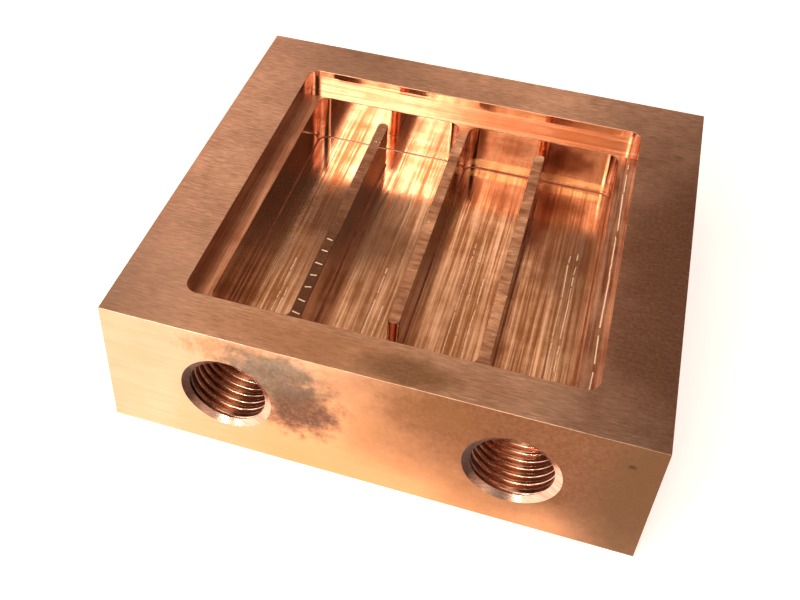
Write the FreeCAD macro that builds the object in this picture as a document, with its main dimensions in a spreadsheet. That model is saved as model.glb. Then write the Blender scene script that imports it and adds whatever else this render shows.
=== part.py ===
import FreeCAD, Part
import math
import os

import Sketcher

# Body of a liquid cooling cold plate: one copper block, milled from the solid.
#
# The top has a recess with a narrow seat for a cover.  Inside the seat one cutter path leaves a
# serpentine channel, because thin fins reach from the front wall and the back wall in turn.  Two
# tapped ports in the front face open into the first and the last channel.
#
# Millimetres and degrees.  +X runs along the port face, +Y from the port face to the back, and +Z
# up.  The origin is the centre of the underside.

# Alias, value and meaning of every size that can be set by itself.
SIZES = (
    ("plate_length", 80.0, "block along X"),
    ("plate_width", 75.6, "block along Y"),
    ("plate_height", 24.0, "block along Z"),
    ("edge_break", 0.25, "bevel on the outside edges and round the mouth of the recess"),
    ("side_wall", 10.0, "side face to the recess, on the left and on the right"),
    ("front_wall", 7.25, "port face to the recess"),
    ("back_wall", 8.85, "back face to the recess"),
    ("recess_depth", 3.5, "top face to the seat of the cover"),
    ("seat_width", 2.85, "ledge that the cover sits on, at the sides and the back"),
    ("front_seat_width", 2.25, "the same ledge along the front wall"),
    ("cutter_radius", 2.0, "upright inside corners, left by the end mill"),
    ("channel_depth", 9.0, "seat of the cover to the channel floor"),
    ("floor_fillet", 0.2, "foot of the channel walls and fins"),
    ("seat_break", 0.12, "bevel along the inner edge of the seat and round the tops of the fins"),
    ("fin_count", 3, "fins, by turns from the front wall and the back wall"),
    ("fin_thickness", 1.8, "each fin along X"),
    ("fin_tip_radius", 0.75, "upright corners of a fin's free end"),
    ("turn_gap", 4.2, "free end of a fin to the wall that it faces"),
    ("port_height", 12.0, "underside to the axis of the ports"),
    ("port_rim_radius", 7.0, "countersink at the port face"),
    ("countersink_angle", 120.0, "included angle of the countersink"),
    ("drill_radius", 5.9, "bore of the ports, at the size of the tapping drill"),
    ("drill_overrun", 2.0, "full drill diameter past the inner side of the wall"),
    ("drill_point_angle", 118.0, "included angle of the drill's point"),
)

FULL_TURN = 360.0

# Places that several features share, as expressions on the sheet.
RECESS_FRONT = "(Sizes.front_wall - Sizes.plate_width / 2)"
RECESS_BACK = "(Sizes.plate_width / 2 - Sizes.back_wall)"
RECESS_SIDE = "(Sizes.plate_length / 2 - Sizes.side_wall)"
SEAT_HEIGHT = "(Sizes.plate_height - Sizes.recess_depth)"
FLOOR_HEIGHT = f"({SEAT_HEIGHT} - Sizes.channel_depth)"
CHANNEL_FRONT = f"({RECESS_FRONT} + Sizes.front_seat_width)"
CHANNEL_BACK = f"({RECESS_BACK} - Sizes.seat_width)"
CHANNEL_SIDE = f"({RECESS_SIDE} - Sizes.seat_width)"
FIN_PITCH = f"((2 * {CHANNEL_SIDE} + Sizes.fin_thickness) / (Sizes.fin_count + 1))"
PORT_OFFSET = f"({CHANNEL_SIDE} + Sizes.fin_thickness / 2 - {FIN_PITCH} / 2)"


def make_sheet(doc):
    """Make the sheet that holds the driving sizes."""
    sheet = doc.addObject("Spreadsheet::Sheet", "Sizes")
    for row, (alias, value, meaning) in enumerate(SIZES, start=1):
        sheet.set(f"A{row}", alias)
        sheet.set(f"B{row}", str(value))
        sheet.setAlias(f"B{row}", alias)
        sheet.set(f"C{row}", meaning)
    doc.recompute()
    return sheet


def number(sheet, expression):
    """Return what an expression is worth now."""
    return float(sheet.evalExpression(expression))


def new_sketch(body, name, plane_role, height):
    """Make a sketch parallel to one of the body's origin planes, at a bound height."""
    planes = [item for item in body.Origin.OriginFeatures if item.Role == plane_role]
    sketch = body.newObject("Sketcher::SketchObject", name)
    sketch.AttachmentSupport = [(planes[0], "")]
    sketch.MapMode = "FlatFace"
    sketch.setExpression("AttachmentOffset.Base.z", height)
    return sketch


def bind(sketch, constraint, expression):
    """Add a constraint and bind its value to an expression."""
    index = sketch.addConstraint(constraint)
    sketch.setExpression(f"Constraints[{index}]", expression)


def place_point(sketch, sheet, line, end, axis, expression):
    """Fix one coordinate of a line's end, measured from the sketch's origin."""
    value = number(sheet, expression)
    if value == 0:
        zero_axis = -2 if axis == "DistanceX" else -1
        sketch.addConstraint(Sketcher.Constraint("PointOnObject", line, end, zero_axis))
    elif value > 0:
        bind(sketch, Sketcher.Constraint(axis, -1, 1, line, end, value), expression)
    else:
        bind(sketch, Sketcher.Constraint(axis, line, end, -1, 1, -value), f"-({expression})")


def draw_square_outline(sketch, sheet, corners):
    """Draw a closed, anticlockwise outline of level and upright lines.

    Each corner is its x and y expressions and the name of its radius, or None where it is sharp.
    """
    count = len(corners)
    points = [FreeCAD.Vector(number(sheet, x), number(sheet, y), 0) for x, y, _ in corners]
    radii = [number(sheet, f"Sizes.{radius}") if radius else 0.0 for _, _, radius in corners]
    heading = [(points[(i + 1) % count] - points[i]).normalize() for i in range(count)]

    for i in range(count):
        following = (i + 1) % count
        start = points[i] + heading[i] * radii[i]
        end = points[following] - heading[i] * radii[following]
        sketch.addGeometry(Part.LineSegment(start, end))
        level = abs(heading[i].x) > abs(heading[i].y)
        sketch.addConstraint(Sketcher.Constraint("Horizontal" if level else "Vertical", i))

    for i, (x, y, radius) in enumerate(corners):
        before = (i - 1) % count
        if radius:
            draw_round_corner(sketch, points[i], heading[before], heading[i], radii[i], before, i)
            arc = sketch.GeometryCount - 1
            bind(sketch, Sketcher.Constraint("Radius", arc, radii[i]), f"Sizes.{radius}")
        else:
            sketch.addConstraint(Sketcher.Constraint("Coincident", before, 2, i, 1))
        level = abs(heading[i].x) > abs(heading[i].y)
        if level:
            place_point(sketch, sheet, i, 1, "DistanceY", y)
        else:
            place_point(sketch, sheet, i, 1, "DistanceX", x)


def draw_round_corner(sketch, corner, arriving, leaving, radius, line_before, line_after):
    """Join two lines by an arc that is tangent to both."""
    left_turn = arriving.cross(leaving).z > 0
    centre = corner + (leaving - arriving) * radius
    first = corner - arriving * radius
    last = corner + leaving * radius
    start, end = (first, last) if left_turn else (last, first)
    start_angle = (start - centre).getAngle(FreeCAD.Vector(1, 0, 0))
    if (start - centre).y < 0:
        start_angle = -start_angle
    quarter = math.pi / 2
    circle = Part.Circle(centre, FreeCAD.Vector(0, 0, 1), radius)
    arc = sketch.addGeometry(Part.ArcOfCircle(circle, start_angle, start_angle + quarter))
    arc_first, arc_last = (1, 2) if left_turn else (2, 1)
    sketch.addConstraint(Sketcher.Constraint("Tangent", line_before, 2, arc, arc_first))
    sketch.addConstraint(Sketcher.Constraint("Tangent", arc, arc_last, line_after, 1))


def draw_profile(sketch, sheet, points):
    """Draw a closed outline of straight lines through points given as expressions."""
    count = len(points)
    places = [FreeCAD.Vector(number(sheet, x), number(sheet, y), 0) for x, y in points]
    for i in range(count):
        sketch.addGeometry(Part.LineSegment(places[i], places[(i + 1) % count]))
    for i, (x, y) in enumerate(points):
        sketch.addConstraint(Sketcher.Constraint("Coincident", (i - 1) % count, 2, i, 1))
        place_point(sketch, sheet, i, 1, "DistanceX", x)
        place_point(sketch, sheet, i, 1, "DistanceY", y)


def level_edges(sheet, shape, height, side, front, back):
    """Name the edges that lie flat at one height, inside the given limits."""
    near = 1e-4
    level = number(sheet, height)
    reach = number(sheet, side) + near
    nearest = number(sheet, front) - near
    furthest = number(sheet, back) + near
    names = []
    for index, edge in enumerate(shape.Edges, start=1):
        box = edge.BoundBox
        flat = abs(box.ZMin - level) < near and abs(box.ZMax - level) < near
        across = box.XMin > -reach and box.XMax < reach
        along = box.YMin > nearest and box.YMax < furthest
        if flat and across and along:
            names.append(f"Edge{index}")
    return names


def dress_edges(body, kind, name, base, edges, size_name, alias):
    """Add a fillet or a chamfer on named edges and bind its size."""
    feature = body.newObject(kind, name)
    feature.Base = (base, edges)
    feature.setExpression(size_name, f"Sizes.{alias}")
    return feature


def cut_pocket(doc, body, sketch, name, depth):
    """Cut a sketch down by a bound depth, and check that it took material away."""
    before = body.Shape.Volume
    pocket = body.newObject("PartDesign::Pocket", name)
    pocket.Profile = sketch
    pocket.setExpression("Length", depth)
    sketch.Visibility = False
    doc.recompute()
    if pocket.Shape.Volume >= before:
        raise RuntimeError(f"{name} removed nothing")
    return pocket


def make_block(doc, body, sheet):
    """Pad the block and break its outside edges."""
    sketch = new_sketch(body, "BlockOutline", "XY_Plane", "0")
    side = "Sizes.plate_length / 2"
    end = "Sizes.plate_width / 2"
    corners = ((f"-{side}", f"-{end}"), (side, f"-{end}"), (side, end), (f"-{side}", end))
    draw_square_outline(sketch, sheet, [(x, y, None) for x, y in corners])
    block = body.newObject("PartDesign::Pad", "Block")
    block.Profile = sketch
    block.setExpression("Length", "Sizes.plate_height")
    sketch.Visibility = False
    doc.recompute()
    edges = [f"Edge{index}" for index in range(1, len(block.Shape.Edges) + 1)]
    chamfer = "PartDesign::Chamfer"
    dress_edges(body, chamfer, "BlockEdges", block, edges, "Size", "edge_break")
    doc.recompute()


def cut_recess(doc, body, sheet):
    """Cut the recess that takes the cover, and bevel its mouth."""
    sketch = new_sketch(body, "RecessOutline", "XY_Plane", "Sizes.plate_height")
    corners = (
        (f"-{RECESS_SIDE}", RECESS_FRONT),
        (RECESS_SIDE, RECESS_FRONT),
        (RECESS_SIDE, RECESS_BACK),
        (f"-{RECESS_SIDE}", RECESS_BACK),
    )
    draw_square_outline(sketch, sheet, [(x, y, "cutter_radius") for x, y in corners])
    recess = cut_pocket(doc, body, sketch, "CoverRecess", "Sizes.recess_depth")
    limits = (RECESS_SIDE, RECESS_FRONT, RECESS_BACK)
    mouth = level_edges(sheet, recess.Shape, "Sizes.plate_height", *limits)
    chamfer = "PartDesign::Chamfer"
    dress_edges(body, chamfer, "RecessMouth", recess, mouth, "Size", "edge_break")
    doc.recompute()


def serpentine_corners(sheet):
    """List the corners of the channel outline, anticlockwise from the front left."""
    front_run = []
    back_run = []
    fin_count = int(number(sheet, "Sizes.fin_count"))
    for index in range(1, fin_count + 1):
        centre = f"({index} * {FIN_PITCH} - {CHANNEL_SIDE} - Sizes.fin_thickness / 2)"
        left = f"({centre} - Sizes.fin_thickness / 2)"
        right = f"({centre} + Sizes.fin_thickness / 2)"
        if index % 2:
            tip = f"({CHANNEL_BACK} - Sizes.turn_gap)"
            front_run += [
                (left, CHANNEL_FRONT, "cutter_radius"),
                (left, tip, "fin_tip_radius"),
                (right, tip, "fin_tip_radius"),
                (right, CHANNEL_FRONT, "cutter_radius"),
            ]
        else:
            tip = f"({CHANNEL_FRONT} + Sizes.turn_gap)"
            back_run = [
                (right, CHANNEL_BACK, "cutter_radius"),
                (right, tip, "fin_tip_radius"),
                (left, tip, "fin_tip_radius"),
                (left, CHANNEL_BACK, "cutter_radius"),
            ] + back_run
    return (
        [(f"-{CHANNEL_SIDE}", CHANNEL_FRONT, "cutter_radius")]
        + front_run
        + [(CHANNEL_SIDE, CHANNEL_FRONT, "cutter_radius")]
        + [(CHANNEL_SIDE, CHANNEL_BACK, "cutter_radius")]
        + back_run
        + [(f"-{CHANNEL_SIDE}", CHANNEL_BACK, "cutter_radius")]
    )


def cut_channel(doc, body, sheet):
    """Cut the serpentine channel below the seat, which leaves the fins, and dress its edges."""
    sketch = new_sketch(body, "ChannelOutline", "XY_Plane", SEAT_HEIGHT)
    draw_square_outline(sketch, sheet, serpentine_corners(sheet))
    channel = cut_pocket(doc, body, sketch, "Serpentine", "Sizes.channel_depth")
    limits = (CHANNEL_SIDE, CHANNEL_FRONT, CHANNEL_BACK)
    foot = level_edges(sheet, channel.Shape, FLOOR_HEIGHT, *limits)
    fillet = "PartDesign::Fillet"
    rounded = dress_edges(body, fillet, "ChannelFoot", channel, foot, "Radius", "floor_fillet")
    doc.recompute()
    mouth = level_edges(sheet, rounded.Shape, SEAT_HEIGHT, *limits)
    chamfer = "PartDesign::Chamfer"
    dress_edges(body, chamfer, "ChannelMouth", rounded, mouth, "Size", "seat_break")
    doc.recompute()


def cut_ports(doc, body, sheet):
    """Turn the countersunk and drilled port, and mirror it to the other side.

    The bore has the radius of the tapping drill, as a tapped hole is drawn before its thread.
    """
    sketch = new_sketch(body, "PortProfile", "XY_Plane", "Sizes.port_height")
    sketch.setExpression("AttachmentOffset.Base.x", f"-{PORT_OFFSET}")
    face = "(-Sizes.plate_width / 2)"
    sink = "(Sizes.port_rim_radius - Sizes.drill_radius) / tan(Sizes.countersink_angle / 2 * 1 deg)"
    point = "Sizes.drill_radius / tan(Sizes.drill_point_angle / 2 * 1 deg)"
    drill_end = f"({CHANNEL_FRONT} + Sizes.drill_overrun)"
    draw_profile(sketch, sheet, (
        ("0", face),
        ("Sizes.port_rim_radius", face),
        ("Sizes.drill_radius", f"({face} + {sink})"),
        ("Sizes.drill_radius", drill_end),
        ("0", f"({drill_end} + {point})"),
    ))
    before = body.Shape.Volume
    port = body.newObject("PartDesign::Groove", "PortLeft")
    port.Profile = sketch
    port.ReferenceAxis = (sketch, ["V_Axis"])
    port.Angle = FULL_TURN
    sketch.Visibility = False
    doc.recompute()
    if port.Shape.Volume >= before:
        raise RuntimeError("the port removed nothing")
    pair = body.newObject("PartDesign::Mirrored", "PortRight")
    pair.Originals = [port]
    middle = [item for item in body.Origin.OriginFeatures if item.Role == "YZ_Plane"]
    pair.MirrorPlane = (middle[0], [""])
    body.Tip = pair
    doc.recompute()


def check(doc, body):
    """Stop if a feature failed or the finished solid isn't sound."""
    failed = [item.Name for item in doc.Objects if {"Invalid", "Error"} & set(item.State)]
    if failed:
        raise RuntimeError(f"failed objects: {failed}")
    if body.Shape.isNull() or not body.Shape.isValid() or len(body.Shape.Solids) != 1:
        raise RuntimeError(f"{body.Label} isn't one sound solid")


def main():
    """Build the body from the sheet and write it as a STEP file."""
    doc = FreeCAD.newDocument("ColdPlate")
    sheet = make_sheet(doc)
    body = doc.addObject("PartDesign::Body", "PlateBody")
    body.Label = "plate_body"
    body.Placement = FreeCAD.Placement()
    make_block(doc, body, sheet)
    cut_recess(doc, body, sheet)
    cut_channel(doc, body, sheet)
    cut_ports(doc, body, sheet)
    check(doc, body)
    os.makedirs("parts", exist_ok=True)
    body.Shape.exportStep(f"parts/{body.Label}.step")
    print(f"{body.Label}: {body.Shape.Volume:.0f} mm3, {len(body.Shape.Faces)} faces")


main()
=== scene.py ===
import logging
import math
import random
from dataclasses import dataclass, field
from enum import Enum

import bmesh
import bpy
from mathutils import Euler, Matrix, Vector


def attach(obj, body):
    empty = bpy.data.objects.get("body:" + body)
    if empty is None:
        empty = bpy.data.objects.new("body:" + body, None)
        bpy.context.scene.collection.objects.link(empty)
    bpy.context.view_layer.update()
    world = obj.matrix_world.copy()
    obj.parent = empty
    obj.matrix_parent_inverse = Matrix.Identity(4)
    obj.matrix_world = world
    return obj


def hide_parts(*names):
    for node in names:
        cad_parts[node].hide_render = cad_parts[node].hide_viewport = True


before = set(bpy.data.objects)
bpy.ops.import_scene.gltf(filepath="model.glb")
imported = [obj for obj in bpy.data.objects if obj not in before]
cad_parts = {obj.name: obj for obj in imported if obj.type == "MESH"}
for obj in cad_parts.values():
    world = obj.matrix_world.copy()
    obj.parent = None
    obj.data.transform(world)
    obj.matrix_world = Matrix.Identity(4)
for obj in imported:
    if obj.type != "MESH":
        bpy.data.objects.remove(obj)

log = logging.getLogger("cold_plate")

MM = 0.001
NODE = "plate_body"
BODY = "root"
# How far a cutter's solid stands clear of the face it cuts, and how near two places have to be to
# count as one when the faces are sorted, in millimetres.
CLEARANCE = 1.0
MARGIN = 0.01
# Points nearer than this are one, in metres.
WELD = 1e-7
# Flat steps in each round corner of an outline.
CORNER_STEPS = 8

Mesh = bmesh.types.BMesh
Pairs = list[tuple[float, float]]
Socket = bpy.types.NodeSocket
Tree = bpy.types.NodeTree


# --- Small tools


def linear(hex_code: str) -> tuple[float, float, float, float]:
    """Turn an sRGB hex colour into linear light.

    Args:
        hex_code: Six hex digits.

    Returns:
        Linear red, green and blue, and a full alpha.
    """
    parts = [int(hex_code[i:i + 2], 16) / 255 for i in (0, 2, 4)]
    red, green, blue = (p / 12.92 if p <= 0.04045 else ((p + 0.055) / 1.055) ** 2.4 for p in parts)
    return red, green, blue, 1.0


def add_node(tree: Tree, kind: str, settings: dict[str, object] | None = None,
             **inputs: object) -> bpy.types.Node:
    """Add one node with its settings and links.

    Args:
        tree: Node tree that takes the node.
        kind: Blender's class name of the node.
        settings: Properties of the node, by name.
        **inputs: Values or output sockets. An underscore in a name stands for a space, and a
            name such as i0 is the socket's index.

    Returns:
        The new node.
    """
    node = tree.nodes.new(kind)
    for name, value in (settings or {}).items():
        setattr(node, name, value)
    for name, value in inputs.items():
        index = name[1:]
        socket = node.inputs[int(index) if index.isdigit() else name.replace("_", " ")]
        if isinstance(value, Socket):
            tree.links.new(value, socket)
        else:
            socket.default_value = value
    return node


def object_from(name: str, mesh: Mesh) -> bpy.types.Object:
    """Turn a closed bmesh into a linked object with outward faces.

    Args:
        name: Name of the object.
        mesh: Shape, in metres.

    Returns:
        The new object.
    """
    bmesh.ops.remove_doubles(mesh, verts=mesh.verts, dist=WELD)
    bmesh.ops.recalc_face_normals(mesh, faces=mesh.faces)
    data = bpy.data.meshes.new(name)
    mesh.to_mesh(data)
    mesh.free()
    made = bpy.data.objects.new(name, data)
    bpy.context.scene.collection.objects.link(made)
    return made


class Operation(Enum):
    """Ways to combine two solids, under Blender's names."""

    CUT = "DIFFERENCE"
    JOIN = "UNION"


def combine(target: bpy.types.Object, tool: bpy.types.Object, operation: Operation) -> None:
    """Apply a boolean to a solid and throw the tool away.

    Args:
        target: Solid that changes.
        tool: Solid that cuts it or joins it.
        operation: What the tool does to it.
    """
    modifier = target.modifiers.new("cut", "BOOLEAN")
    modifier.object = tool
    modifier.operation = operation.value
    modifier.solver = "EXACT"
    bpy.context.view_layer.update()
    evaluated = target.evaluated_get(bpy.context.evaluated_depsgraph_get())
    result = bpy.data.meshes.new_from_object(evaluated)
    target.modifiers.clear()
    target.data = result
    bpy.data.objects.remove(tool)


@dataclass(frozen=True)
class Corner:
    """One corner of an outline of level and upright lines, in millimetres."""

    x: float
    y: float
    radius: float = 0.0


def rectangle(side: float, front: float, back: float, radius: float) -> list[Corner]:
    """List the corners of a rectangle, anticlockwise.

    Args:
        side: Half its size along X.
        front: Its lower limit along Y.
        back: Its upper limit along Y.
        radius: Radius of its corners.

    Returns:
        Four corners.
    """
    return [Corner(-side, front, radius), Corner(side, front, radius), Corner(side, back, radius),
            Corner(-side, back, radius)]


def trace(corners: list[Corner], offset: float) -> Pairs:
    """Trace an anticlockwise outline, moved outward by an offset, with round corners.

    Args:
        corners: Corners in anticlockwise order.
        offset: How far every wall moves outward; negative moves it inward.

    Returns:
        Points in the plane. Every offset gives as many points.
    """
    ring: Pairs = []
    for i, corner in enumerate(corners):
        here = Vector((corner.x, corner.y))
        before = corners[i - 1]
        after = corners[(i + 1) % len(corners)]
        arrive = (here - Vector((before.x, before.y))).normalized()
        leave = (Vector((after.x, after.y)) - here).normalized()
        left_turn = arrive.x * leave.y - arrive.y * leave.x > 0
        here += offset * (Vector((arrive.y, -arrive.x)) + Vector((leave.y, -leave.x)))
        radius = corner.radius + (offset if left_turn else -offset)
        centre = here + (leave - arrive) * radius
        for step in range(CORNER_STEPS + 1):
            angle = math.pi / 2 * step / CORNER_STEPS
            point = centre - (leave * math.cos(angle) - arrive * math.sin(angle)) * radius
            ring.append((point.x, point.y))
    return ring


def round_foot(radius: float, steps: int) -> Pairs:
    """Describe a foot that narrows downwards.

    Args:
        radius: Radius of the fillet.
        steps: Flat steps in the quarter.

    Returns:
        Pairs of height above the floor and outward offset, from low to high.
    """
    angles = [math.pi / 2 * i / steps for i in range(steps + 1)]
    return [(radius * (1 - math.cos(a)), -radius * (1 - math.sin(a))) for a in angles]


def round_mouth(radius: float, steps: int) -> Pairs:
    """Describe a mouth that widens upwards.

    Args:
        radius: Radius of the round.
        steps: Flat steps in the quarter.

    Returns:
        Pairs of height under the face and outward offset, from low to high.
    """
    angles = [math.pi / 2 * i / steps for i in range(steps + 1)]
    return [(-radius * (1 - math.sin(a)), radius * (1 - math.cos(a))) for a in angles]


def loft(name: str, corners: list[Corner], profile: Pairs) -> bpy.types.Object:
    """Build a closed solid by stacking rings of one outline.

    Args:
        name: Name of the solid.
        corners: Outline of the solid.
        profile: Height and outward offset of every ring, from low to high, in millimetres.

    Returns:
        The solid, in metres.
    """
    mesh = bmesh.new()
    rings = []
    for height, offset in profile:
        ring = trace(corners, offset)
        rings.append([mesh.verts.new((x * MM, y * MM, height * MM)) for x, y in ring])
    count = len(rings[0])
    for low, high in zip(rings, rings[1:]):
        for i in range(count):
            j = (i + 1) % count
            mesh.faces.new((low[i], low[j], high[j], high[i]))
    mesh.faces.new(list(reversed(rings[0])))
    mesh.faces.new(rings[-1])
    return object_from(name, mesh)


def score(solid: bpy.types.Object, across: tuple[float, ...], along: tuple[float, ...]) -> None:
    """Split a solid's faces on upright planes, so that the parts can differ in finish.

    Args:
        solid: Solid whose faces are split.
        across: Places of planes along X, in millimetres.
        along: Places of planes along Y, in millimetres.
    """
    mesh = bmesh.new()
    mesh.from_mesh(solid.data)
    planes = [(Vector((x * MM, 0, 0)), Vector((1, 0, 0))) for x in across]
    planes += [(Vector((0, y * MM, 0)), Vector((0, 1, 0))) for y in along]
    for place, normal in planes:
        parts = [*mesh.verts, *mesh.edges, *mesh.faces]
        bmesh.ops.bisect_plane(mesh, geom=parts, dist=WELD, plane_co=place, plane_no=normal)
    mesh.to_mesh(solid.data)
    mesh.free()


# --- Finishes


class Grain(Enum):
    """Directions that the cutter marks of a face run in."""

    ALONG_X = (1.0, 0.0, 0.0)
    ALONG_Y = (0.0, 1.0, 0.0)
    LEVEL = (1.0, 1.0, 0.0)


@dataclass(frozen=True)
class StainAndPaintedLight:
    """A darker or paler mark, for real marks and painted light and shade alike: a soft, speckled
    blot whose edge wanders.

    The centre, the reach, the waves of the edge and the grain of the speckle are in millimetres.
    The edge wanders by its ragged share of the reach, and the blot breaks up into grains by its
    speckle. It is full inside its inner share of the reach and gone past its outer one.
    """

    colour: str
    centre: tuple[float, float, float]
    reach: tuple[float, float, float]
    strength: float
    edge: float = 4.5
    ragged: float = 1.3
    dulls_to: float = 0.5
    speckle: float = 0.3
    grain: float = 0.5
    inner: float = 0.4
    outer: float = 1.1


@dataclass(frozen=True)
class NicksAndGlints:
    """Short raised scratches along the grain with a painted glint on each, a line wide and a run
    long, in millimetres.

    They start at one level of a noise and are full at another.
    """

    line: float = 0.45
    run: float = 2.6
    starts: float = 0.64
    full: float = 0.71
    # Colour of the painted glint.
    colour: str = "ffd9c4"


@dataclass(frozen=True)
class MilledCopper:
    """Copper as a cutter leaves it: fine parallel lines over a warm, uneven shine.

    The lines' spacing and run, their depth and the clouds are in millimetres. Real feed marks are
    often closer together, and too fine to show, so they are drawn as coarse as it takes.
    """

    name: str
    light: str
    dark: str
    smooth: float
    rough: float
    grain: Grain
    line: float
    run: float
    depth: float
    cloud: float = 9.0
    contrast: float = 0.12
    # Strength of the raised scratches and of their painted glints.
    nick_glints: float = 0.0
    nick_glint: NicksAndGlints = NicksAndGlints()
    # How much wider and longer the broad lines are than the fine ones.
    broader: float = 5.0
    longer: float = 2.5
    # Part of the pattern over which the roughness changes.
    sheen: tuple[float, float] = (0.38, 0.62)
    # Weights of the fine lines, the broad lines and the clouds.
    mix: tuple[float, float, float] = (0.40, 0.25, 0.35)
    # Real marks and painted light and shade, laid over the colour.
    stains_and_painted_light: tuple[StainAndPaintedLight, ...] = ()

    def build(self) -> bpy.types.Material:
        """Make the material.

        Returns:
            The finished material.
        """
        material = bpy.data.materials.new(self.name)
        material.use_nodes = True
        tree = material.node_tree
        tree.nodes.clear()
        place = add_node(tree, "ShaderNodeTexCoord").outputs["Object"]
        fine = self.lines(tree, place, self.line, self.run)
        broad = self.lines(tree, place, self.line * self.broader, self.run * self.longer)
        cloud = self.blotches(tree, place, self.cloud)
        shade = self.weigh(tree, tuple(zip((fine, broad, cloud), self.mix)))
        ramp = add_node(tree, "ShaderNodeValToRGB", Fac=shade)
        ends = ramp.color_ramp.elements
        ends[0].position, ends[0].color = 0.5 - self.contrast, linear(self.dark)
        ends[1].position, ends[1].color = 0.5 + self.contrast, linear(self.light)
        colour = ramp.outputs["Color"]
        roughness = add_node(tree, "ShaderNodeMapRange", Value=shade, From_Min=self.sheen[0],
                             From_Max=self.sheen[1], To_Min=self.rough,
                             To_Max=self.smooth).outputs["Result"]
        height = fine
        if self.nick_glints:
            height, colour = self.add_nicks_and_glints(tree, place, height, colour)
        # Lays the real marks and the painted light and shade.
        for stain_and_light in self.stains_and_painted_light:
            colour, roughness = self.add_stain_and_painted_light(tree, place, stain_and_light, colour, roughness)
        bump = add_node(tree, "ShaderNodeBump", Height=height, Strength=1.0,
                        Distance=self.depth * MM).outputs["Normal"]
        shader = add_node(tree, "ShaderNodeBsdfPrincipled", Base_Color=colour, Metallic=1.0,
                          Roughness=roughness, Normal=bump)
        add_node(tree, "ShaderNodeOutputMaterial", Surface=shader.outputs["BSDF"])
        return material

    def lines(self, tree: Tree, place: Socket, width: float, run: float) -> Socket:
        """Stretch a noise into cutter lines.

        Args:
            tree: Node tree of the material.
            place: Position on the object.
            width: Spacing of the lines, in millimetres.
            run: Length over which a line changes, in millimetres.

        Returns:
            The lines, from 0 to 1.
        """
        scale = [a / (run * MM) + (1 - a) / (width * MM) for a in self.grain.value]
        stretched = add_node(tree, "ShaderNodeVectorMath", {"operation": "MULTIPLY"},
                             i0=place, i1=scale).outputs["Vector"]
        return add_node(tree, "ShaderNodeTexNoise", Vector=stretched, Scale=1.0, Detail=3.0,
                        Roughness=0.6).outputs["Fac"]

    def blotches(self, tree: Tree, place: Socket, size: float) -> Socket:
        """Make the cloudy tarnish.

        Args:
            tree: Node tree of the material.
            place: Position on the object.
            size: Size of a cloud, in millimetres.

        Returns:
            The clouds, from 0 to 1.
        """
        return add_node(tree, "ShaderNodeTexNoise", Vector=place, Scale=1 / (size * MM),
                        Detail=6.0, Roughness=0.62).outputs["Fac"]

    def weigh(self, tree: Tree, parts: tuple[tuple[Socket, float], ...]) -> Socket:
        """Add patterns up by their weights.

        Args:
            tree: Node tree of the material.
            parts: Patterns and their weights.

        Returns:
            The sum.
        """
        total: Socket | float = 0.0
        for pattern, weight in parts:
            total = add_node(tree, "ShaderNodeMath", {"operation": "MULTIPLY_ADD"},
                             i0=pattern, i1=weight, i2=total).outputs[0]
        return total

    def add_nicks_and_glints(self, tree: Tree, place: Socket, height: Socket,
                  colour: Socket) -> tuple[Socket, Socket]:
        """Scatter short raised scratches along the grain, each with a painted glint.

        Args:
            tree: Node tree of the material.
            place: Position on the object.
            height: Height of the surface.
            colour: Colour of the surface.

        Returns:
            Height and colour with the scratches and their painted glints.
        """
        marks = self.lines(tree, place, self.nick_glint.line, self.nick_glint.run)
        nick_glint = add_node(tree, "ShaderNodeMapRange", Value=marks, From_Min=self.nick_glint.starts,
                        From_Max=self.nick_glint.full, To_Min=0.0, To_Max=self.nick_glints).outputs["Result"]
        raised = add_node(tree, "ShaderNodeMath", {"operation": "ADD"}, i0=height,
                          i1=nick_glint).outputs[0]
        # Painted glint: each scratch is lightened towards a pale colour.
        glinted = add_node(tree, "ShaderNodeMix", {"data_type": "RGBA"}, i0=nick_glint, i6=colour,
                              i7=linear(self.nick_glint.colour)).outputs[2]
        return raised, glinted

    def add_stain_and_painted_light(self, tree: Tree, place: Socket, stain_and_light: StainAndPaintedLight, colour: Socket,
                  roughness: Socket) -> tuple[Socket, Socket]:
        """Lay one blot, a real mark or painted light and shade, over a colour and a roughness.

        Args:
            tree: Node tree of the material.
            place: Position on the object.
            stain_and_light: The blot to lay.
            colour: Colour under the blot.
            roughness: Roughness under the blot.

        Returns:
            Colour and roughness with the blot.
        """
        centre = [value * MM for value in stain_and_light.centre]
        reach = [1 / (value * MM) for value in stain_and_light.reach]
        moved = add_node(tree, "ShaderNodeVectorMath", {"operation": "SUBTRACT"},
                         i0=place, i1=centre).outputs["Vector"]
        scaled = add_node(tree, "ShaderNodeVectorMath", {"operation": "MULTIPLY"},
                          i0=moved, i1=reach).outputs["Vector"]
        wander = add_node(tree, "ShaderNodeTexNoise", Vector=place, Scale=1 / (stain_and_light.edge * MM),
                          Detail=6.0, Roughness=0.65).outputs["Color"]
        centred = add_node(tree, "ShaderNodeVectorMath", {"operation": "SUBTRACT"},
                           i0=wander, i1=(0.5, 0.5, 0.5)).outputs["Vector"]
        drift = add_node(tree, "ShaderNodeVectorMath", {"operation": "MULTIPLY_ADD"},
                         i0=centred, i1=(stain_and_light.ragged,) * 3, i2=scaled).outputs["Vector"]
        far = add_node(tree, "ShaderNodeVectorMath", {"operation": "LENGTH"},
                       i0=drift).outputs["Value"]
        mask = add_node(tree, "ShaderNodeMapRange", {"interpolation_type": "SMOOTHSTEP"},
                        Value=far, From_Min=stain_and_light.outer, From_Max=stain_and_light.inner, To_Min=0.0,
                        To_Max=stain_and_light.strength).outputs["Result"]
        grains = add_node(tree, "ShaderNodeTexNoise", Vector=place, Scale=1 / (stain_and_light.grain * MM),
                          Detail=4.0, Roughness=0.65).outputs["Fac"]
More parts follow.
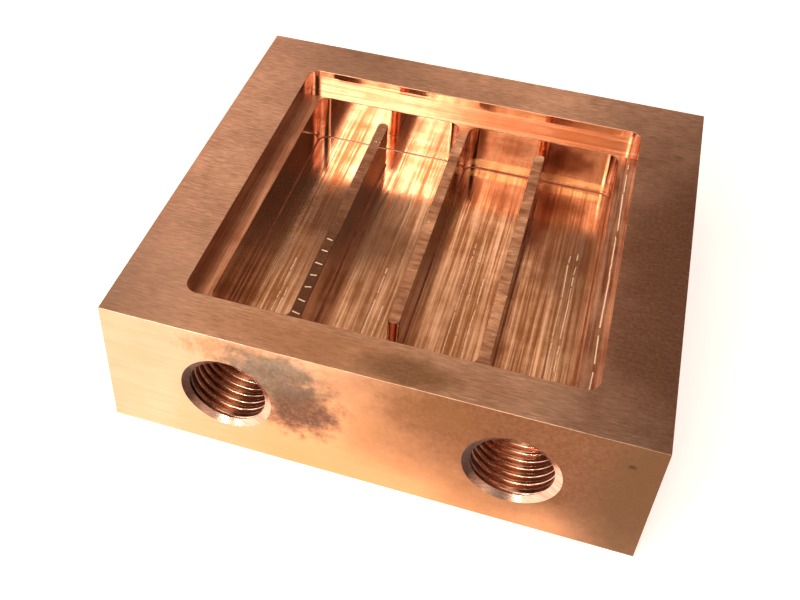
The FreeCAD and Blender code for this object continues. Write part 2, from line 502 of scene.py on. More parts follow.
        thinned = add_node(tree, "ShaderNodeMapRange", Value=grains, From_Min=0.32, From_Max=0.68,
                           To_Min=1 - stain_and_light.speckle, To_Max=1.0).outputs["Result"]
        mask = add_node(tree, "ShaderNodeMath", {"operation": "MULTIPLY"}, i0=mask,
                        i1=thinned).outputs[0]
        tinted = add_node(tree, "ShaderNodeMix", {"data_type": "RGBA"}, i0=mask, i6=colour,
                          i7=linear(stain_and_light.colour)).outputs[2]
        dulled = add_node(tree, "ShaderNodeMix", {"data_type": "FLOAT"}, i0=mask, i2=roughness,
                          i3=stain_and_light.dulls_to).outputs[0]
        return tinted, dulled


class Face(Enum):
    """Kinds of surface on the block. Each has a finish of its own."""

    # Satin copper left by a fly cutter: pinkish brown with short streaks along X and a few raised
    # scratches with painted glints. A painted sheen pales its front left corner and painted shade
    # browns it on the right, and it has a faint water mark by its front edge.
    TOP = MilledCopper(
        "fly_cut_copper_top", "f8ccb6", "c8a08a", 0.29, 0.38, Grain.ALONG_X, 0.30, 2.2, 0.013,
        cloud=11.0, contrast=0.10, nick_glints=0.9, mix=(0.55, 0.10, 0.35),
        # Painted sheen at the front left corner.
        stains_and_painted_light=(StainAndPaintedLight("ffd8c6", (-37.0, -34.0, 24.0), (14.0, 22.0, 30.0), 0.3, 9.0, 0.7, 0.3),
                # Painted shade, browner to the right.
                StainAndPaintedLight("8a5c46", (45.0, -8.0, 24.0), (25.0, 48.0, 30.0), 0.9, 9.0, 0.7, 0.42),
                StainAndPaintedLight("c08a60", (-4.0, -34.8, 24.0), (26.0, 5.0, 3.0), 0.6, 5.0, 0.8, 0.42),
                StainAndPaintedLight("8f6a4c", (5.0, -35.2, 24.0), (8.5, 3.2, 3.0), 0.8, 3.0, 0.9, 0.5)))
    # The port face is brighter and more golden. Heat has left a grey and purple blot by the left
    # port, and painted shade browns the face from the middle to the right end.
    FRONT = MilledCopper(
        "fly_cut_copper_front", "f8c6a8", "ecb188", 0.30, 0.42, Grain.ALONG_X, 0.30, 9.0, 0.016,
        contrast=0.15,
        # Painted shade: the first three blots brown the face from the middle to the right end.
        stains_and_painted_light=(StainAndPaintedLight("eaa76c", (6.0, -37.8, 2.0), (36.0, 30.0, 30.0), 0.75, 12.0, 0.5, 0.40, 0.1),
                StainAndPaintedLight("784c30", (31.0, -37.8, 20.0), (41.0, 30.0, 25.0), 1.0, 12.0, 0.5, 0.42,
                      0.12),
                StainAndPaintedLight("705034", (43.0, -37.8, 12.0), (15.0, 30.0, 40.0), 0.9, 6.0, 0.5, 0.45, 0.12),
                StainAndPaintedLight("8a5e34", (9.5, -37.8, 20.0), (9.0, 8.0, 4.5), 0.7, 1.8, 1.8, 0.45, 0.5),
                StainAndPaintedLight("b07a44", (-20.0, -37.8, 21.5), (9.0, 8.0, 3.5), 0.7, 1.5, 2.0, 0.45, 0.5),
                StainAndPaintedLight("6a4a40", (-9.8, -37.8, 12.8), (7.5, 8.0, 6.2), 1.0, 2.2, 1.5, 0.5, 0.3),
                StainAndPaintedLight("746654", (-13.8, -37.8, 18.3), (10.0, 8.0, 6.5), 0.95, 2.2, 1.6, 0.5, 0.3),
                StainAndPaintedLight("8e8f88", (-14.5, -37.8, 19.5), (9.0, 8.0, 5.0), 0.45, 1.2, 2.4, 0.5, 0.7),
                StainAndPaintedLight("6e4630", (-12.0, -37.8, 15.0), (9.0, 8.0, 8.0), 0.5, 1.6, 2.8, 0.5, 0.5),
                StainAndPaintedLight("4f3422", (36.0, -37.8, 19.6), (0.7, 2.0, 0.5), 0.9, 1.0, 0.8, 0.5)))
    # The other outer faces have the same cutter lines, without blots, painted sheen or painted
    # shade.
    SIDE = MilledCopper(
        "fly_cut_copper_side", "f6c8b2", "d0a088", 0.32, 0.44, Grain.LEVEL, 0.34, 8.0, 0.020)
    # The ledges at the sides are duller than the channel, with long lines on the cutter's way.
    # The left one is a little paler. The ledges at the front and the back are close to a mirror.
    SEAT = MilledCopper(
        "end_milled_copper_seat_sides", "f2c0a6", "a86c52", 0.26, 0.42, Grain.ALONG_Y, 0.50, 16.0,
        0.030, contrast=0.07,
        stains_and_painted_light=(StainAndPaintedLight("f8b898", (-28.6, 0.0, 20.5), (3.5, 60.0, 3.0), 0.45, 8.0, 0.3, 0.3, 0.4),))
    SEAT_ENDS = MilledCopper(
        "end_milled_copper_seat_ends", "fad1c0", "d09c80", 0.10, 0.24, Grain.ALONG_X, 0.60, 24.0,
        0.034, contrast=0.08)
    # The first fin's top is browner than the others, towards the front, and has raised scratches
    # with painted glints.
    FIN_TOP = MilledCopper(
        "end_milled_copper_fin_top", "f2c4a8", "ae7c62", 0.22, 0.38, Grain.ALONG_X, 0.8, 3.0,
        0.034, contrast=0.09, nick_glints=0.5,
        stains_and_painted_light=(StainAndPaintedLight("7a5240", (-14.0, -15.0, 20.5), (3.0, 24.0, 3.0), 0.95, 3.0, 0.5, 0.45),
                StainAndPaintedLight("6e4a3a", (-14.0, -30.0, 20.5), (3.0, 26.0, 3.0), 0.85, 3.0, 0.4, 0.45)))
    # Copper fresh from an end mill is close to a mirror. Level steps in the walls break up what
    # they reflect. The back wall of the right channels has painted dark reflections over one
    # painted bright highlight along its foot.
    RECESS_WALL = MilledCopper(
        "end_milled_copper_recess_wall", "f0c2a8", "d09a7c", 0.08, 0.18, Grain.LEVEL, 0.80, 30.0,
        0.040)
    WALL = MilledCopper(
        "end_milled_copper_wall", "fad1c0", "e0a88c", 0.07, 0.14, Grain.LEVEL, 1.30, 40.0, 0.010,
        # Painted dark reflections: the first three blots.
        stains_and_painted_light=(StainAndPaintedLight("7a4228", (2.4, 26.1, 16.5), (2.6, 2.0, 6.0), 0.85, 2.0, 0.5, 0.15, 0.1),
                StainAndPaintedLight("8a5034", (9.0, 26.1, 18.0), (4.5, 2.0, 3.0), 0.6, 2.0, 0.8, 0.15, 0.1),
                StainAndPaintedLight("7a4228", (19.0, 26.1, 17.0), (5.5, 2.0, 3.8), 0.85, 2.0, 0.8, 0.15, 0.1),
                # Painted highlight: a bright line along the foot of the back wall.
                StainAndPaintedLight("ffdcb4", (12.0, 26.1, 12.8), (24.0, 2.0, 1.0), 1.0, 1.5, 0.4, 0.45, 0.3)))
    # Long streaks on the cutter's way, from mirror to satin, with painted dark reflections and
    # painted shade as duller brown patches.
    FLOOR = MilledCopper(
        "end_milled_copper_floor", "f8d0b6", "b07c58", 0.07, 0.28, Grain.ALONG_Y, 0.50, 26.0,
        0.012, cloud=5.0, contrast=0.07, mix=(0.50, 0.27, 0.23),
        # Painted dark reflections in the first, second and fourth channels, and painted shade
        # beside the third fin.
        stains_and_painted_light=(StainAndPaintedLight("6e4632", (-18.5, 5.0, 11.5), (6.0, 8.0, 3.0), 0.75, 4.0, 0.9, 0.25, 0.3),
                StainAndPaintedLight("7a5240", (-7.0, 1.0, 11.5), (6.0, 7.0, 3.0), 0.6, 4.0, 0.9, 0.25, 0.3),
                StainAndPaintedLight("8a5a44", (21.0, 9.0, 11.5), (7.0, 14.0, 3.0), 0.7, 4.0, 0.9, 0.25, 0.3),
                StainAndPaintedLight("70341e", (15.9, 17.0, 11.5), (3.4, 13.0, 3.0), 0.9, 2.0, 0.4, 0.2, 0.1)))
    # The cutter's corner scuffs the foot of every wall.
    FOOT = MilledCopper(
        "scuffed_copper_foot", "cc967c", "a87058", 0.70, 0.90, Grain.LEVEL, 0.30, 2.0, 0.010)
    # The tap leaves the thread smooth. Painted shade darkens the left of each bore and of both
    # countersinks.
    PORT = MilledCopper(
        "tapped_copper_port", "fcd4c0", "d09c82", 0.14, 0.26, Grain.LEVEL, 0.30, 3.0, 0.004,
        # Painted shade at the left of each bore and of each countersink.
        stains_and_painted_light=(*(StainAndPaintedLight("5a2e20", (x, -34.0, 12.5), (6.5, 16.0, 10.0), 0.9, 3.0, 0.5, 0.35)
                  for x in (-26.5, 15.5)),
                *(StainAndPaintedLight("3a2620", (x, -37.4, 12.5), (4.2, 2.6, 10.0), 0.95, 2.0, 0.4, 0.4, 0.1)
                  for x in (-28.4, 13.6))))
    # Burr that the cutter pushed up between two passes. It is rough, and its near-white colour is a
    # painted glint.
    BURR_GLINT = MilledCopper(
        "painted_glint_copper_burr", "fffaf0", "ffecd8", 0.85, 1.00, Grain.ALONG_Y, 0.20, 2.0, 0.010)


# --- The block and its features, in millimetres, in the frame of the CAD body


@dataclass(frozen=True)
class Block:
    """Outer block with softened edges."""

    length: float = 80.0
    width: float = 75.6
    height: float = 24.0
    edge_break: float = 0.12
    edge_steps: int = 3

    @property
    def port_face(self) -> float:
        """Place of the port face along Y."""
        return -self.width / 2

    def make(self) -> bpy.types.Object:
        """Make the solid.

        Returns:
            The plain block.
        """
        corners = rectangle(self.length / 2, -self.width / 2, self.width / 2, self.edge_break)
        low = round_foot(self.edge_break, self.edge_steps)
        high = [(self.height - rise, offset) for rise, offset in reversed(low)]
        return loft("cold_plate", corners, low + high)


@dataclass(frozen=True)
class CoverRecess:
    """Recess in the top whose floor is the seat of the cover."""

    block: Block
    side_wall: float = 10.0
    front_wall: float = 7.25
    back_wall: float = 8.85
    depth: float = 3.5
    cutter_radius: float = 2.0

    @property
    def side(self) -> float:
        """Half its size along X."""
        return self.block.length / 2 - self.side_wall

    @property
    def front(self) -> float:
        """Front wall along Y."""
        return self.front_wall - self.block.width / 2

    @property
    def back(self) -> float:
        """Back wall along Y."""
        return self.block.width / 2 - self.back_wall

    @property
    def seat(self) -> float:
        """Height of the seat."""
        return self.block.height - self.depth

    def make_cutter(self) -> bpy.types.Object:
        """Make the solid that cuts the recess and rounds its mouth.

        Returns:
            The cutter.
        """
        mouth = round_mouth(self.block.edge_break, self.block.edge_steps)
        profile = [(self.seat, 0.0)]
        profile += [(self.block.height + rise, offset) for rise, offset in mouth]
        profile += [(self.block.height + CLEARANCE, self.block.edge_break)]
        corners = rectangle(self.side, self.front, self.back, self.cutter_radius)
        return loft("recess_cut", corners, profile)


@dataclass(frozen=True)
class Burr:
    """Thin line of pushed-up copper, along X or along Y, on a level face."""

    start: Vector
    end: Vector
    width: float
    height: float
    # Points of its section, in shares of its width and its height.
    section: tuple[tuple[float, float], ...] = (
        (-0.5, -0.6), (-0.36, 0.5), (0.0, 1.0), (0.36, 0.5), (0.5, -0.6))

    def add_to(self, mesh: Mesh) -> None:
        """Add the closed, round-backed line to a mesh, sunk a little into its face.

        Args:
            mesh: Mesh that takes it, in metres.
        """
        along = (self.end - self.start).normalized()
        across = Vector((-along.y, along.x, 0.0))
        loops = []
        for point in (self.start, self.end):
            loops.append([mesh.verts.new((point + across * self.width * a
                                          + Vector((0, 0, self.height * h))) * MM)
                          for a, h in self.section])
        count = len(self.section)
        for i in range(count):
            j = (i + 1) % count
            mesh.faces.new((loops[0][i], loops[0][j], loops[1][j], loops[1][i]))
        mesh.faces.new(list(reversed(loops[0])))
        mesh.faces.new(loops[1])


@dataclass(frozen=True)
class Breaks:
    """How a burr line breaks off and starts again: its runs, its gaps and its size."""

    runs: tuple[float, ...] = (1.2, 2.0, 4.5, 9.0)
    stretch: tuple[float, float] = (0.7, 1.3)
    gaps: tuple[float, ...] = (0.15, 0.5, 1.6)
    widths: tuple[float, float] = (0.16, 0.26)
    drift: float = 0.09
    height: float = 0.05


@dataclass(frozen=True)
class Chatter:
    """Row of short marks that the cutter's chatter left across the first fin."""

    count: int = 7
    start: float = 1.6
    step: float = 2.75
    stray: float = 0.15
    # Half their length, in shares of the fin's thickness.
    reaches: tuple[float, float] = (0.26, 0.36)
    width: float = 0.28
    height: float = 0.04


@dataclass(frozen=True)
class Serpentine:
    """Channel below the seat that runs round fins from the front and the back in turn."""

    recess: CoverRecess
    seat_width: float = 2.85
    front_seat_width: float = 2.25
    depth: float = 9.0
    floor_fillet: float = 0.2
    seat_break: float = 0.12
    fin_count: int = 3
    fin_thickness: float = 1.8
    fin_tip_radius: float = 0.75
    turn_gap: float = 4.2
    # The lines that the cutter's passes left on the floor and on the seat: their places along X,
    # and how far back they run.
    floor_lines: tuple[tuple[float, float], ...] = (
        (-20.7, -6.0), (-19.8, -14.0), (-5.7, -4.0), (-4.1, -13.0), (7.1, 6.0), (8.4, 8.0),
        (10.0, -2.0), (22.7, 8.0), (23.9, 9.0))
    seat_lines: tuple[tuple[float, float], ...] = ((28.9, 24.0),)
    # How far behind the front walls of the channel and the recess the lines start, and how far
    # from a line's middle its faces lie.
    floor_line_start: float = 1.5
    seat_line_start: float = 2.5
    line_reach: float = 0.35
    breaks: Breaks = Breaks()
    chatter: Chatter = Chatter()
    foot_steps: int = 4
    mouth_steps: int = 2
    seed: int = 7

    @property
    def floor(self) -> float:
        """Height of the floor."""
        return self.recess.seat - self.depth

    @property
    def side(self) -> float:
        """Half its size along X."""
        return self.recess.side - self.seat_width

    @property
    def front(self) -> float:
        """Front wall along Y."""
        return self.recess.front + self.front_seat_width

    @property
    def back(self) -> float:
        """Back wall along Y."""
        return self.recess.back - self.seat_width

    @property
    def pitch(self) -> float:
        """Distance from one fin to the next."""
        return (2 * self.side + self.fin_thickness) / (self.fin_count + 1)

    def fin_centre(self, index: int) -> float:
        """Place of a fin along X, counted from 1."""
        return index * self.pitch - self.side - self.fin_thickness / 2

    def corners(self) -> list[Corner]:
        """Trace the channel anticlockwise from its front left corner.

        Returns:
            Every corner of the outer wall and of the fins.
        """
        wall, tip = self.recess.cutter_radius, self.fin_tip_radius
        front_run: list[Corner] = []
        back_run: list[Corner] = []
        for index in range(1, self.fin_count + 1):
            left = self.fin_centre(index) - self.fin_thickness / 2
            right = left + self.fin_thickness
            if index % 2:
                end = self.back - self.turn_gap
                front_run += [Corner(left, self.front, wall), Corner(left, end, tip),
                              Corner(right, end, tip), Corner(right, self.front, wall)]
            else:
                end = self.front + self.turn_gap
                back_run = [Corner(right, self.back, wall), Corner(right, end, tip),
                            Corner(left, end, tip), Corner(left, self.back, wall)] + back_run
        front_left, front_right, back_right, back_left = rectangle(self.side, self.front, self.back,
                                                                   wall)
        return [front_left, *front_run, front_right, back_right, *back_run, back_left]

    def make_cutter(self) -> bpy.types.Object:
        """Make the solid that cuts the channel and leaves the fins.

        Returns:
            The cutter.
        """
        seat = self.recess.seat
        foot = round_foot(self.floor_fillet, self.foot_steps)
        mouth = round_mouth(self.seat_break, self.mouth_steps)
        profile = [(self.floor + rise, offset) for rise, offset in foot]
        profile += [(seat + rise, offset) for rise, offset in mouth]
        profile += [(seat + CLEARANCE, self.seat_break)]
        return loft("channel_cut", self.corners(), profile)

    def make_burrs(self) -> bpy.types.Object:
        """Make the lines on the floor and the seat, and the marks across the first fin.

        Returns:
            One object with all of them.
        """
        draw = random.Random(self.seed)
        mesh = bmesh.new()
        floor_front = self.front + self.floor_line_start
        for x, back in self.floor_lines:
            self.add_broken_line(mesh, draw, x, self.floor, floor_front, back)
        seat_front = self.recess.front + self.seat_line_start
        for x, back in self.seat_lines:
            self.add_broken_line(mesh, draw, x, self.recess.seat, seat_front, back)
        first, marks = self.fin_centre(1), self.chatter
        for i in range(marks.count):
            y = self.front + marks.start + marks.step * i + draw.uniform(-marks.stray, marks.stray)
            reach = self.fin_thickness * draw.uniform(*marks.reaches)
            slope = draw.uniform(-marks.stray, marks.stray)
            start = Vector((first - reach, y + slope, self.recess.seat))
            end = Vector((first + reach, y - slope, self.recess.seat))
            Burr(start, end, marks.width, marks.height).add_to(mesh)
        return object_from("burrs", mesh)

    def marks(self, place: Vector) -> bool:
        """Say whether a place is on one of the cutter's lines, or over the first fin.

        Args:
            place: Middle of a face, in millimetres.

        Returns:
            True where a burr may be.
        """
        lines = self.floor_lines + self.seat_lines
        on_first_fin = abs(place.x - self.fin_centre(1)) < self.fin_thickness / 2
        return on_first_fin or any(abs(place.x - x) < self.line_reach for x, _ in lines)

    def add_broken_line(self, mesh: Mesh, draw: random.Random, x: float, z: float,
                        front: float, back: float) -> None:
        """Add a line along Y that breaks off and starts again.

        Args:
            mesh: Mesh that takes the line.
            draw: Source of the lengths.
            x: Place of the line along X.
            z: Height of its face.
            front: Where the line starts.
            back: Where the line stops.
        """
        breaks = self.breaks
        y = front
        while y < back:
            end = min(back, y + draw.choice(breaks.runs) * draw.uniform(*breaks.stretch))
            width = draw.uniform(*breaks.widths)
            drift = draw.uniform(-breaks.drift, breaks.drift)
            Burr(Vector((x + drift, y, z)), Vector((x - drift, end, z)), width,
                 breaks.height).add_to(mesh)
            y = end + draw.choice(breaks.gaps)


@dataclass(frozen=True)
class Port:
    """Countersunk and tapped port in the front face."""

    block: Block
    x: float
    inner_wall: float
    height: float = 12.0
    rim_radius: float = 7.0
    countersink_angle: float = 120.0
    drill_radius: float = 5.9
    drill_overrun: float = 2.0
    drill_point_angle: float = 118.0
    thread_root_radius: float = 6.58
    thread_pitch: float = 1.337
    thread_angle: float = 55.0
    thread_length: float = 9.2
    thread_start: float = 0.45
    crest_round: float = 0.22
    # Half the flat of the root, half the flat of the crest, how far the cutter's open edge
    # passes the crest, and how far it stands inside the bore.
    root_flat: float = 0.08
    crest_flat: float = 0.06
    lip: float = 0.03
    stand_in: float = 0.12
    # Places of the points on the round of a crest, in shares of its radius.
    crest_steps: tuple[float, ...] = (0.3, 0.6, 0.85, 1.0)
    # Depth and width left at the ends of the thread, in shares of the full ones.
    end_depth: float = 0.02
    end_spread: float = 0.3
    segments: int = 96

    @property
    def countersink_depth(self) -> float:
        """Depth of the countersink under the port face."""
        slope = math.tan(math.radians(self.countersink_angle / 2))
        return (self.rim_radius - self.drill_radius) / slope

    @property
    def drill_end(self) -> float:
        """Place along Y where the drill's point starts."""
        return self.inner_wall + self.drill_overrun

    @property
    def drill_tip(self) -> float:
        """Place along Y where the drill's point ends."""
        slope = math.tan(math.radians(self.drill_point_angle / 2))
        return self.drill_end + self.drill_radius / slope

    def point(self, angle: float, radius: float, y: float) -> tuple[float, float, float]:
        """Give a point round the port's axis, in metres."""
        return ((self.x + radius * math.cos(angle)) * MM, y * MM,
                (self.height + radius * math.sin(angle)) * MM)

    def make_cutter(self) -> bpy.types.Object:
        """Make the countersink, the bore and the drill's point.

        Returns:
            The cutter.
        """
        slope = math.tan(math.radians(self.countersink_angle / 2))
        face = self.block.port_face
        rings = [(face - CLEARANCE, self.rim_radius + slope * CLEARANCE),
                 (face + self.countersink_depth, self.drill_radius),
                 (self.drill_end, self.drill_radius)]
        mesh = bmesh.new()
        turn = [2 * math.pi * i / self.segments for i in range(self.segments)]
        loops = [[mesh.verts.new(self.point(a, radius, y)) for a in turn] for y, radius in rings]
        tip = mesh.verts.new(self.point(0.0, 0.0, self.drill_tip))
        mesh.faces.new(loops[0])
        for i in range(self.segments):
            j = (i + 1) % self.segments
            mesh.faces.new((tip, loops[-1][i], loops[-1][j]))
            for near, far in zip(loops, loops[1:]):
                mesh.faces.new((near[i], near[j], far[j], far[i]))
        return object_from("port_cut", mesh)

    def make_thread(self) -> bpy.types.Object:
        """Make the coil that cuts the thread: a V with a flat root that leaves round crests.

        It starts in the countersink, and fades in and out over half a turn. At its ends it is
        thin but not flat, so that the solid stays sound.

        Returns:
            The solid that cuts the groove.
        """
        start = self.block.port_face + self.thread_start
        inner = self.drill_radius - self.stand_in
        section = self.thread_section(inner)
        stations = int(self.thread_length / self.thread_pitch * self.segments)
        mesh = bmesh.new()
        loops = []
        for i in range(stations + 1):
            angle = -2 * math.pi * i / self.segments
            y = start + self.thread_pitch * i / self.segments
            fade = min(1.0, min(i, stations - i) / (self.segments / 2) + self.end_depth)
            spread = self.end_spread + (1.0 - self.end_spread) * fade
            loops.append([mesh.verts.new(self.point(angle, inner + (r - inner) * fade,
                                                    y + shift * spread))
                          for r, shift in section])
        for near, far in zip(loops, loops[1:]):
            for k in range(len(section)):
                j = (k + 1) % len(section)
                mesh.faces.new((near[k], near[j], far[j], far[k]))
        mesh.faces.new(loops[0])
        mesh.faces.new(list(reversed(loops[-1])))
        return object_from("thread_cut", mesh)

    def thread_section(self, inner: float) -> Pairs:
        """Trace the section of the groove.

        Args:
            inner: Radius at which the section is open.

        Returns:
            Pairs of radius and place along the axis.
        """
        slope = math.tan(math.radians(self.thread_angle / 2))
        foot = self.drill_radius + self.crest_round
        flank = self.root_flat + (self.thread_root_radius - foot) * slope
        crest = self.thread_pitch / 2 - self.crest_flat
        half = [(self.thread_root_radius, self.root_flat), (foot, flank)]
        for step in self.crest_steps:
            half.append((foot - self.crest_round * step,
                         flank + (crest - flank) * (1 - math.sqrt(1 - step ** 2))))
        half.append((inner, crest + self.lip))
        return [(r, -shift) for r, shift in reversed(half)] + half

    def holds(self, place: Vector) -> bool:
        """Say whether a face lies in the port.

        Args:
            place: Middle of the face, in millimetres.

        Returns:
            True in the countersink, the thread, the bore and the drill's point.
        """
        off_axis = math.hypot(place.x - self.x, place.z - self.height)
        in_reach = self.block.port_face + MARGIN / 10 < place.y < self.drill_tip
        return in_reach and off_axis < self.rim_radius + MARGIN


@dataclass
class ColdPlate:
    """The milled copper block with its recess, channel and ports."""

    block: Block = Block()
    recess: CoverRecess = field(init=False)
    channel: Serpentine = field(init=False)
    ports: list[Port] = field(init=False)
    # Edges that turn by more than this, in degrees, stay sharp.
    sharp: float = 24.0
    # Upward share of a face's direction past which it belongs to a top, is a floor, is level, and
    # forward share past which it belongs to the front.
    upward: float = 0.3
    flat: float = 0.99
    level: float = 0.999
    forward: float = 0.7
    # Heights over their face between which a burr's sides have their middles, in millimetres.
    burr_heights: tuple[float, float] = (0.004, 0.07)
    # How far the edge breaks of the block and the seat reach, and the rounds of the channel's
    # wall and of the fins' tips, in millimetres past their place.
    edge_reach: float = 0.05
    seat_reach: float = 0.02
    wall_reach: float = 0.2
    fin_reach: float = 0.5

    def __post_init__(self) -> None:
        """Set the features out from each other."""
        self.recess = CoverRecess(self.block)
        self.channel = Serpentine(self.recess)
        offset = self.channel.side + self.channel.fin_thickness / 2 - self.channel.pitch / 2
        self.ports = [Port(self.block, x, self.channel.front) for x in (-offset, offset)]

    def make(self) -> bpy.types.Object:
        """Mill the block.

        Returns:
            The block, with a material on every face.
        """
        plate = self.block.make()
        recess = self.recess.make_cutter()
        score(recess, (-self.channel.side, self.channel.side),
              (self.channel.front, self.channel.back))
        combine(plate, recess, Operation.CUT)
        combine(plate, self.channel.make_cutter(), Operation.CUT)
        combine(plate, self.channel.make_burrs(), Operation.JOIN)
        for port in self.ports:
            combine(plate, port.make_cutter(), Operation.CUT)
            combine(plate, port.make_thread(), Operation.CUT)
        self.dress(plate)
        plate.data.shade_smooth()
        plate.data.set_sharp_from_angle(angle=math.radians(self.sharp))
        weighted = plate.modifiers.new("even_shading", "WEIGHTED_NORMAL")
        weighted.keep_sharp = True
        weighted.weight = 100
        return plate

    def dress(self, plate: bpy.types.Object) -> None:
        """Give every face the finish of its kind of surface.

        Args:
            plate: The milled block.
        """
        kinds = list(Face)
        plate.data.materials.clear()
        for kind in kinds:
            plate.data.materials.append(kind.value.build())
        for polygon in plate.data.polygons:
            kind = self.kind_of(polygon.center / MM, polygon.normal)
            polygon.material_index = kinds.index(kind)

    def kind_of(self, place: Vector, normal: Vector) -> Face:
        """Say what kind of surface a face is.

        Args:
            place: Middle of the face, in millimetres.
            normal: Direction that the face looks in.

        Returns:
            The kind of surface.
        """
        seat, floor, top = self.recess.seat, self.channel.floor, self.block.height
        near = self.block.edge_break + self.edge_reach
        inside = (abs(place.x) < self.recess.side + near
                  and self.recess.front - near < place.y < self.recess.back + near)
        below = place.z < floor - MARGIN or place.y < self.channel.front
        if below and place.z < seat and any(port.holds(place) for port in self.ports):
            return Face.PORT
        if place.z > top - near and normal.z > self.upward:
            return Face.TOP
        if not inside:
            return Face.FRONT if -normal.y > self.forward else Face.SIDE
        return self.kind_inside(place, normal, place.z - seat, place.z - floor)

    def kind_inside(self, place: Vector, normal: Vector, over_seat: float,
                    over_floor: float) -> Face:
        """Say what kind of surface a face of the recess or the channel is.

        Args:
            place: Middle of the face, in millimetres.
            normal: Direction that the face looks in.
            over_seat: Height of the face over the seat.
            over_floor: Height of the face over the channel floor.

        Returns:
            The kind of surface.
        """
        channel = self.channel
        low, high = self.burr_heights
        raised = any(low < height < high for height in (over_seat, over_floor))
        if raised and abs(normal.z) < self.level and channel.marks(place):
            return Face.BURR_GLINT
        if abs(over_seat) < channel.seat_break + self.seat_reach and normal.z > self.upward:
            if channel.front - self.wall_reach < place.y < channel.back + self.wall_reach:
                on_fin = abs(place.x) < channel.side - self.fin_reach
                return Face.FIN_TOP if on_fin else Face.SEAT
            return Face.SEAT_ENDS
        if over_seat > 0.0:
            return Face.RECESS_WALL
        if over_floor > channel.floor_fillet - MARGIN / 2:
            return Face.WALL
        return Face.FLOOR if normal.z > self.flat else Face.FOOT


# --- Studio


@dataclass(frozen=True)
class Softbox:
    """Soft area light on a dome round the block, turned to its middle.

    The bearing is in degrees from +Y, clockwise as seen from above. The rise is above the floor.
    Lengths are in metres.
    """

    name: str
    bearing: float
    rise: float
    width: float
    tall: float
    glow: float
    colour: str
    distance: float = 0.70
    aim_height: float = 0.015

    def hang(self) -> None:
        """Hang the light."""
        lamp = bpy.data.lights.new(self.name, "AREA")
        lamp.shape = "RECTANGLE"
        lamp.size, lamp.size_y = self.width, self.tall
        # The power that makes every size of light as bright as its glow says.
        lamp.energy = self.glow * math.pi * self.width * self.tall
        lamp.color = linear(self.colour)[:3]
        holder = bpy.data.objects.new(self.name, lamp)
        level = math.cos(math.radians(self.rise)) * self.distance
        bearing = math.radians(self.bearing)
        holder.location = (level * math.sin(bearing), level * math.cos(bearing),
                           math.sin(math.radians(self.rise)) * self.distance)
        aim = Vector((0.0, 0.0, self.aim_height)) - holder.location
        holder.rotation_euler = aim.to_track_quat("-Z", "Y").to_euler()
        bpy.context.scene.collection.objects.link(holder)


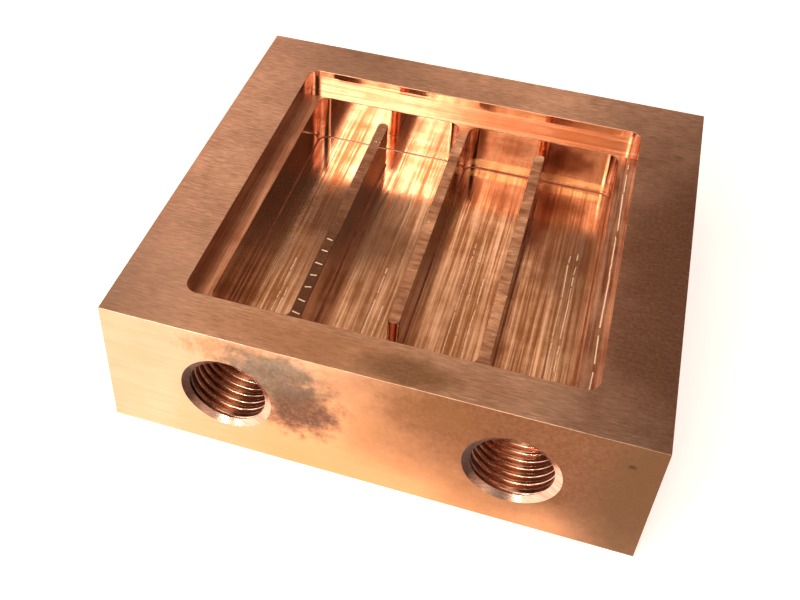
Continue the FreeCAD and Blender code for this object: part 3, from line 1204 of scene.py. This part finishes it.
@dataclass(frozen=True)
class Studio:
    """Pale floor, soft light and the camera.

    The eye's place and the lens's focal length are in millimetres, and the angles in degrees. The
    floor's half size and its gap under the block are in metres.
    """

    floor_reach: float = 1.5
    floor_gap: float = 0.00002
    floor_glow: float = 0.62
    sky_glow: float = 0.06
    eye: tuple[float, float, float] = (21.264, -127.931, 135.938)
    azimuth: float = 16.74
    elevation: float = 41.84
    roll: float = 1.354
    lens: float = 48.17
    shift: tuple[float, float] = (0.0878, -0.1073)
    softboxes: tuple[Softbox, ...] = (
        # In front on the left: it fires the back of the left channels.
        Softbox("key", 201.0, 43.0, 0.20, 0.27, 5.8, "fff4e4"),
        # Lower and further right, for the back ledge and the right channels.
        Softbox("key_right", 185.0, 34.0, 0.17, 0.09, 2.5, "fff4d8"),
        Softbox("low_front", 185.0, 26.0, 0.34, 0.12, 3.1, "ffecc8"),
        # Close to the floor in front: bright spots and a broad glow in the ports.
        Softbox("port_light_left", 208.0, 10.0, 0.04, 0.14, 55.0, "fff4e6"),
        Softbox("port_light_right", 191.0, 10.0, 0.03, 0.14, 55.0, "fff4e6"),
        Softbox("port_glow", 240.0, 8.0, 0.32, 0.16, 5.0, "fff0ee"),
        # The front at large, and the back wall of the recess, which reflects it.
        Softbox("front_wash", 224.0, 37.0, 0.28, 0.43, 1.0, "ffdcb6"),
        Softbox("front_centre", 179.0, 48.0, 0.18, 0.15, 2.3, "ffe2bc"),
        Softbox("high_front", 185.0, 63.0, 0.36, 0.22, 2.4, "ffdcb6"),
        Softbox("high_left", 240.0, 63.0, 0.36, 0.22, 2.8, "ffdcb6"),
        Softbox("left", 262.0, 32.0, 0.49, 0.44, 1.6, "fff0e0"),
        Softbox("right", 105.0, 32.0, 0.32, 0.44, 1.8, "fff0e0"),
        # Behind: dim and warm, because the satin top and the channel floors reflect it.
        Softbox("back_high_left", 330.0, 64.0, 0.17, 0.20, 1.4, "ffd6a2"),
        Softbox("back", 344.0, 51.0, 0.32, 0.13, 0.75, "ffd6b0"),
        Softbox("back_right", 16.0, 51.0, 0.24, 0.13, 0.36, "ffd2a8"),
        Softbox("back_middle", 355.5, 37.0, 0.12, 0.20, 1.1, "ffd8b4"),
        Softbox("back_low", 5.0, 31.0, 0.15, 0.09, 0.8, "ffdac0"),
        Softbox("back_fill_left", 342.0, 37.0, 0.15, 0.20, 0.08, "ffc0a0"),
        Softbox("back_fill_right", 7.0, 41.0, 0.14, 0.12, 0.06, "ffc0a0"),
        Softbox("back_low_left", 331.0, 34.0, 0.15, 0.20, 1.45, "ffdabd"),
        # Right over the block, for its top as seen from above.
        Softbox("overhead", 240.0, 85.0, 0.52, 0.52, 1.2, "fffaf2", distance=0.80),
    )

    def build(self) -> None:
        """Set up the floor, the surroundings, the lights and the camera."""
        self.lay_floor()
        self.set_sky()
        for softbox in self.softboxes:
            softbox.hang()
        self.place_camera()

    def lay_floor(self) -> None:
        """Lay a matt pale floor just under the block: a light table that glows a little."""
        mesh = bmesh.new()
        bmesh.ops.create_grid(mesh, x_segments=1, y_segments=1, size=self.floor_reach)
        data = bpy.data.meshes.new("floor")
        mesh.to_mesh(data)
        mesh.free()
        floor = bpy.data.objects.new("floor", data)
        floor.location.z = -self.floor_gap
        bpy.context.scene.collection.objects.link(floor)
        paint = bpy.data.materials.new("matt_pale_floor")
        paint.use_nodes = True
        shader = paint.node_tree.nodes["Principled BSDF"]
        shader.inputs["Base Color"].default_value = linear("f8f6f3")
        shader.inputs["Roughness"].default_value = 0.9
        shader.inputs["Specular IOR Level"].default_value = 0.1
        shader.inputs["Emission Color"].default_value = linear("fff6f6")
        shader.inputs["Emission Strength"].default_value = self.floor_glow
        floor.data.materials.append(paint)

    def set_sky(self) -> None:
        """Fill the surroundings with a dim, warm grey."""
        world = bpy.data.worlds.new("studio")
        world.use_nodes = True
        backdrop = world.node_tree.nodes["Background"]
        backdrop.inputs["Color"].default_value = linear("d8c8b8")
        backdrop.inputs["Strength"].default_value = self.sky_glow
        bpy.context.scene.world = world

    def place_camera(self) -> None:
        """Place the camera."""
        data = bpy.data.cameras.new("camera")
        data.lens = self.lens
        data.sensor_width = 36.0
        data.shift_x, data.shift_y = self.shift
        data.clip_start = 0.01
        camera = bpy.data.objects.new("camera", data)
        camera.location = Vector(self.eye) * MM
        turn = Euler((math.radians(90 - self.elevation), 0.0, math.radians(self.azimuth)))
        tilt = Matrix.Rotation(math.radians(self.roll), 4, "Z")
        camera.rotation_euler = (turn.to_matrix().to_4x4() @ tilt).to_euler()
        bpy.context.scene.collection.objects.link(camera)
        bpy.context.scene.camera = camera
        bpy.context.scene.view_settings.view_transform = "Standard"


def main() -> None:
    """Build the plate in the CAD frame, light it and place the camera."""
    logging.basicConfig(level=logging.INFO, format="%(name)s: %(message)s")
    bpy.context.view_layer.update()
    plate = ColdPlate().make()
    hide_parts(NODE)
    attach(plate, BODY)
    log.info("%s: %d faces", plate.name, len(plate.data.polygons))
    Studio().build()


if __name__ == "__main__":
    main()
